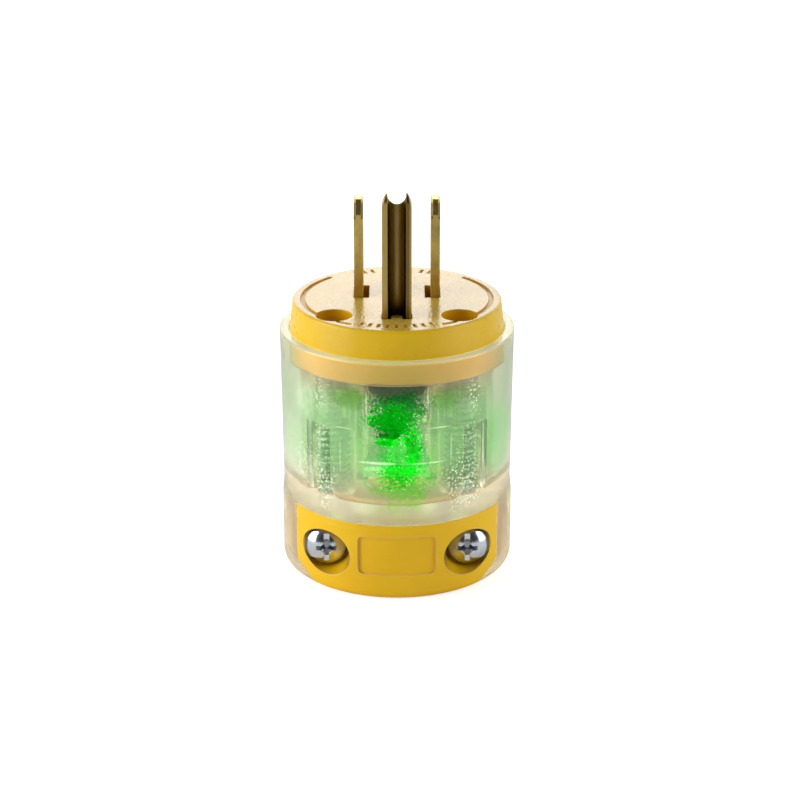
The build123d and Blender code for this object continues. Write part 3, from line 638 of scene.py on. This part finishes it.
def clear_plastic(name, milk, roughness, grain, glow_strength, edge_strength):
    """Clear moulded plastic, a little milky and frosted, with the green light of the lamp inside and
    highlights on its edges painted on.
    """
    m = material(name)
    x, y, z = m.axes()
    halo = m.fade(m.apart(z, lamp_high.z), *HALO_REACH, smooth=True)
    halo = m.product(halo, m.spread(y, shell_low.y, shell_high.y, 1.0, 0.45))
    thread_shade, thread_glints = painted_thread_light(m, x, y, z)
    tint = clear_tint(m, x, y, z, halo)
    # Painted shade over the threads
    tint = m.mix(m.math("MULTIPLY", thread_shade, THREAD_SHADE_AMOUNT, clamp=True), tint, CLEAR_THREAD_SHADE)
    tint, glow, deep, fringe_glints = lamp_light(m, tint, x, y, z)
    smooth = m.rounded(CLEAR_EDGE)
    waved = m.bump(m.noise(260, detail=2.0), 0.04 * MM, under=smooth)
    rough = m.vary(500, roughness * 0.8, roughness * 1.25)
    plastic = m.add("ShaderNodeBsdfPrincipled", {
        "Base Color": tint,
        "Roughness": m.math("ADD", rough, m.spread(z, *ROUGH_FOOT, FOOT_ROUGHNESS, 0.0)),
        "Normal": m.bump(m.noise(2200, detail=2.0), grain, under=waved),
        "IOR": 1.46,
        "Specular Tint": m.mix(deep, WHITE, DEEP_SHINE),
        "Transmission Weight": 1.0 - milk,
    })
    sparkle = m.spread(m.noise(1300), 0.35, 0.65, 0.35, 1.70)
    shine = m.product(m.math("ADD", glow, m.product(halo, HALO_GLOW)), glow_strength, sparkle)
    lamp_glow = m.add("ShaderNodeEmission", {"Color": GLOW, "Strength": shine})
    # Painted highlights along the plastic's edges and the rim's top
    rim = m.product(m.spread(z, shell_high.z - 0.5 * MM, shell_high.z - 0.1 * MM), RIM_GLOW)
    edge = m.largest(m.product(m.edges(smooth), edge_strength), rim)
    # Painted glints over the threads and at the lamp light's fringe, and the painted pale lines
    painted_glints = m.largest(m.product(thread_glints, THREAD_GLINT_GLOW), m.product(fringe_glints, FRINGE_GLINT_GLOW))
    painted_glints = m.largest(painted_glints, pale_lines(m, x, y, z))
    edge_colour = m.mix(m.math("GREATER_THAN", painted_glints, edge), EDGE_LIGHT, GLINT_LIGHT)
    edge_glow = m.add("ShaderNodeEmission", {"Color": edge_colour, "Strength": m.largest(edge, painted_glints)})
    lit = m.add("ShaderNodeAddShader", {0: plastic.outputs[0], 1: lamp_glow.outputs[0]})
    lit = m.add("ShaderNodeAddShader", {0: lit.outputs[0], 1: edge_glow.outputs[0]})
    through = m.add("ShaderNodeBsdfTransparent", {"Color": CLEAR_SHADOW})
    in_shadow = m.add("ShaderNodeLightPath").outputs["Is Shadow Ray"]
    surface = m.add("ShaderNodeMixShader", {0: in_shadow, 1: lit.outputs[0], 2: through.outputs[0]})
    return m.finish(surface.outputs[0])


# The lamp and what its board carries
def lamp_plastic():
    """The lamp's green epoxy, lit from within."""
    m = material("lamp_epoxy")
    return m.principled({
        "Base Color": m.mottle(LAMP_EPOXY, 700, 0.1),
        "Roughness": m.vary(1500, 0.10, 0.20),
        "Emission Color": GLOW,
        "Emission Strength": m.spread(m.noise(900), 0.35, 0.65, 0.05, 0.35),
    })


def circuit_board():
    """White solder mask with a faint weave, which the lamp lights along the front edge."""
    m = material("white_board")
    radians_per_metre = 9000
    x, y, z = m.axes()
    front = m.fade(y, board_low.y + 0.2 * MM, board_low.y + 0.6 * MM)
    upper = m.math("GREATER_THAN", z, board_high.z - 0.55 * MM)
    lit = m.product(front, upper, m.spread(x, -2 * MM, 1 * MM, 1.0, 0.25))
    warp, weft = (m.math("SINE", m.product(along, radians_per_metre)) for along in (x, y))
    return m.principled({
        "Base Color": m.mottle(BOARD, 260, 0.06),
        "Roughness": m.vary(600, 0.32, 0.45),
        "Normal": m.bump(m.math("ADD", warp, weft), 0.004 * MM),
        "Emission Color": BOARD_LIT,
        "Emission Strength": m.product(lit, 0.45),
    })


def axial_finish(name, node, body_colour, half_body, bands):
    """A body with bands of colour along Y, on tinned leads."""
    m = material(name)
    low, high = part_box(node)
    _, y, _ = m.axes()
    along = m.math("SUBTRACT", y, (low.y + high.y) / 2)
    colour = m.mottle(body_colour, 1200, 0.06)
    for place, band_colour in bands:
        colour = m.mix(m.math("LESS_THAN", m.apart(along, place), BAND_HALF), colour, band_colour)
    on_lead = m.math("GREATER_THAN", m.math("ABSOLUTE", along), half_body)
    return m.principled({
        "Base Color": m.mix(on_lead, colour, TINNED),
        "Metallic": on_lead,
        "Roughness": m.vary(800, 0.30, 0.42),
        "Normal": m.bump(m.noise(2400), 0.008 * MM),
    })


face_nylon = nylon("face_nylon", NYLON_FACE, roughness=0.30, edge_highlight=0.5, dress=face_dress)
clamp_nylon = nylon("clamp_nylon", NYLON_CLAMP, roughness=0.36, edge_highlight=0.8, dress=clamp_dress)
paint(face_nylon, "yellow_nylon", "face_cover")
paint(clamp_nylon, "yellow_nylon", "cord_clamp")

clear_body = clear_plastic(
    "clear_body", milk=0.22, roughness=0.04, grain=0.004 * MM, glow_strength=1.0, edge_strength=0.20)
clear_block = clear_plastic(
    "clear_block", milk=0.15, roughness=0.06, grain=0.03 * MM, glow_strength=0.6, edge_strength=0.50)
paint(clear_body, "clear_polycarbonate", "body_shell")
paint(clear_block, "clear_polycarbonate", "terminal_block")

blade_brass = metal("blade_brass", BRASS, BRASS_DARK, 0.30, 0.5, ALONG_BLADE, blade_shade)
pin_brass = metal("pin_brass", BRASS, BRASS_DARK, 0.30, 0.4, ALONG_BLADE, channel_shade)
paint(blade_brass, "blade_brass", "line_blade", "neutral_blade")
paint(pin_brass, "blade_brass", "ground_pin")

screw_brass = metal("screw_brass", SCREW_BRASS, BRASS_DARK, 0.24, 0.3)
nickel = metal("nickel_plate", NICKEL, NICKEL_DARK, 0.22, 0.25)
paint(screw_brass, "screw_brass", "line_terminal_screw", "line_wire_plate", "ground_wire_plate")
paint(screw_brass, "screw_brass", "line_contact", "neutral_contact")
paint(nickel, "nickel_plate", "neutral_terminal_screw", "neutral_wire_plate")
paint(painted_screw(), "green_screw", "ground_terminal_screw")

zinc = metal("zinc_plate", ZINC, ZINC_DARK, 0.16, 0.12, dark_share=clamp_screw_shade)
for side in ("left", "right"):
    paint(zinc, "zinc_steel", "assembly_screw_" + side, "clamp_screw_" + side, "clamp_nut_" + side)

resistor = axial_finish("resistor_lacquer", "dropping_resistor", RESISTOR, RESISTOR_HALF, RESISTOR_BANDS)
diode_bands = ((1.5 * MM, DIODE_BAND),)
diode = axial_finish("diode_epoxy", "rectifier_diode", EPOXY_BLACK, DIODE_HALF, diode_bands)
paint(circuit_board(), "board_white", "led_board")
paint(lamp_plastic(), "lamp_green", "led")
paint(resistor, "resistor_body", "dropping_resistor")
paint(diode, "diode_body", "rectifier_diode")


# Threads: a ridge wound round each long screw, from inside its shank outwards
def thread_outline(crest):
    """The ridge's section: distances from the axis, each with its height as a share of the pitch."""
    return ((SHANK - 0.1 * MM, -0.40), (SHANK, -0.36), (crest, -0.06), (crest, 0.06), (SHANK, 0.36))


def thread(name, start, end, crest, finish):
    """A helical ridge from start to end, out to the crest, closed at its ends."""
    axis = Vector(end) - Vector(start)
    turn = axis.to_track_quat("Z", "Y").to_matrix().to_4x4()
    placed = Matrix.Translation(start) @ turn
    steps = int(axis.length / THREAD_PITCH * STEPS_PER_TURN)
    taper = STEPS_PER_TURN * TAPER_TURNS
    form = bmesh.new()
    rings = []
    for step in range(steps + 1):
        angle = 2 * math.pi * step / STEPS_PER_TURN
        rise = THREAD_PITCH * step / STEPS_PER_TURN
        full = min(1.0, step / taper, (steps - step) / taper)
        ring = []
        for radius, height in thread_outline(SHANK + (crest - SHANK) * full):
            corner = (radius * math.cos(angle), radius * math.sin(angle), rise + height * THREAD_PITCH)
            ring.append(form.verts.new(placed @ Vector(corner)))
        rings.append(ring)
    for ring, after in zip(rings, rings[1:]):
        for index in range(len(ring)):
            beside = (index + 1) % len(ring)
            form.faces.new((ring[index], ring[beside], after[beside], after[index]))
    form.faces.new(rings[0])
    form.faces.new(rings[-1])
    bmesh.ops.recalc_face_normals(form, faces=form.faces)
    mesh = bpy.data.meshes.new(name)
    form.to_mesh(mesh)
    form.free()
    for face in mesh.polygons:
        face.use_smooth = True
    mesh.materials.append(finish)
    ridge = bpy.data.objects.new(name, mesh)
    bpy.context.scene.collection.objects.link(ridge)
    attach(ridge, "root")


thread_zinc = thread_plate()
for side, sign in (("left", -1), ("right", 1)):
    foot, change, top = (
        (sign * long_screw_x, long_screw_y, height) for height in (THREAD_FOOT, THREAD_CHANGE, THREAD_TOP))
    thread("assembly_thread_" + side, foot, change, CREST, thread_zinc)
    thread("assembly_thread_top_" + side, change, top, CREST_NEAR_HEAD, thread_zinc)


# Studio: a white floor, a world that is white behind and above and dim on the camera's side
def shown_plain(m):
    """1 where the camera looks at a thing, straight or through the clear plastic, 0 elsewhere."""
    path = m.add("ShaderNodeLightPath").outputs
    return m.largest(path["Is Camera Ray"], path["Is Transmission Ray"])


def studio_world():
    """The room's light, darker towards the viewer, and plain white where it is looked at."""
    world = bpy.data.worlds.new("studio")
    bpy.context.scene.world = world
    m = Nodes(world)
    direction = m.add("ShaderNodeTexCoord").outputs["Generated"]
    _, y, z = m.add("ShaderNodeSeparateXYZ", {0: direction}).outputs
    back = m.spread(y, -0.8, 0.6, 0.03, 0.50, smooth=True)
    above = m.spread(z, 0.0, 1.0, 0.0, 0.08)
    glossy = m.add("ShaderNodeLightPath").outputs["Is Glossy Ray"]
    mirrored = m.product(glossy, m.spread(y, 0.0, 0.7))
    level = m.largest(back, above, shown_plain(m), mirrored)
    shade = m.add("ShaderNodeBackground", {"Color": WHITE, "Strength": level})
    m.add("ShaderNodeOutputWorld", {"Surface": shade.outputs[0]})


def floor():
    """A white floor that still takes the object's shadow."""
    half = 1.6
    lift_to_white = 0.62
    mesh = bpy.data.meshes.new("floor")
    corners = [(-half, -half, 0), (half, -half, 0), (half, half, 0), (-half, half, 0)]
    mesh.from_pydata(corners, [], [(0, 1, 2, 3)])
    plane = bpy.data.objects.new("floor", mesh)
    bpy.context.scene.collection.objects.link(plane)
    m = material("floor_white")
    matt = m.add("ShaderNodeBsdfDiffuse", {"Color": m.mottle(FLOOR_PALE, 12, 0.02)})
    lift = m.product(shown_plain(m), lift_to_white)
    glow = m.add("ShaderNodeEmission", {"Color": WHITE, "Strength": lift})
    both = m.add("ShaderNodeAddShader", {0: matt.outputs[0], 1: glow.outputs[0]})
    mesh.materials.append(m.finish(both.outputs[0]))


def soft_box(name, place, target, width, height, level):
    """A soft lamp aimed at the target, at which a white surface that faces it renders at level."""
    light = bpy.data.lights.new(name, "AREA")
    light.shape = "RECTANGLE"
    light.size = width
    light.size_y = height
    aim = Vector(target) - Vector(place)
    light.energy = level * math.pi ** 2 * aim.length_squared
    lamp = bpy.data.objects.new(name, light)
    lamp.location = place
    lamp.rotation_euler = aim.to_track_quat("-Z", "Y").to_euler()
    lamp.visible_camera = False
    bpy.context.scene.collection.objects.link(lamp)


def camera():
    """The photograph's viewpoint: 21.1 degrees above the horizon and 350 mm from the axis."""
    frame_pixels, focal_pixels, sensor = 800, 2065, 36.0
    pitch = math.radians(21.1)
    distance, aim_height, aim_side = 0.350, 0.02807, 0.00051
    lens = bpy.data.cameras.new("camera")
    lens.lens = focal_pixels / frame_pixels * sensor
    lens.sensor_width = sensor
    lens.clip_start = 0.01
    lens.clip_end = 10.0
    eye = bpy.data.objects.new("camera", lens)
    eye.location = (aim_side, -distance * math.cos(pitch), aim_height + distance * math.sin(pitch))
    eye.rotation_euler = (math.pi / 2 - pitch, 0, 0)
    bpy.context.scene.collection.objects.link(eye)
    bpy.context.scene.camera = eye


studio_world()
floor()
middle = (cad_low + cad_high) / 2
face_middle = (0, 0, cover_high.z)
soft_box("key", (-0.46, -0.14, 0.16), middle, width=0.44, height=0.44, level=1.02)
soft_box("fill", (0.46, -0.14, 0.16), middle, width=0.40, height=0.40, level=0.54)
soft_box("back", (0.0, 0.46, 0.26), face_middle, width=0.70, height=0.30, level=0.45)
camera()
bpy.context.scene.view_settings.view_transform = "Standard"
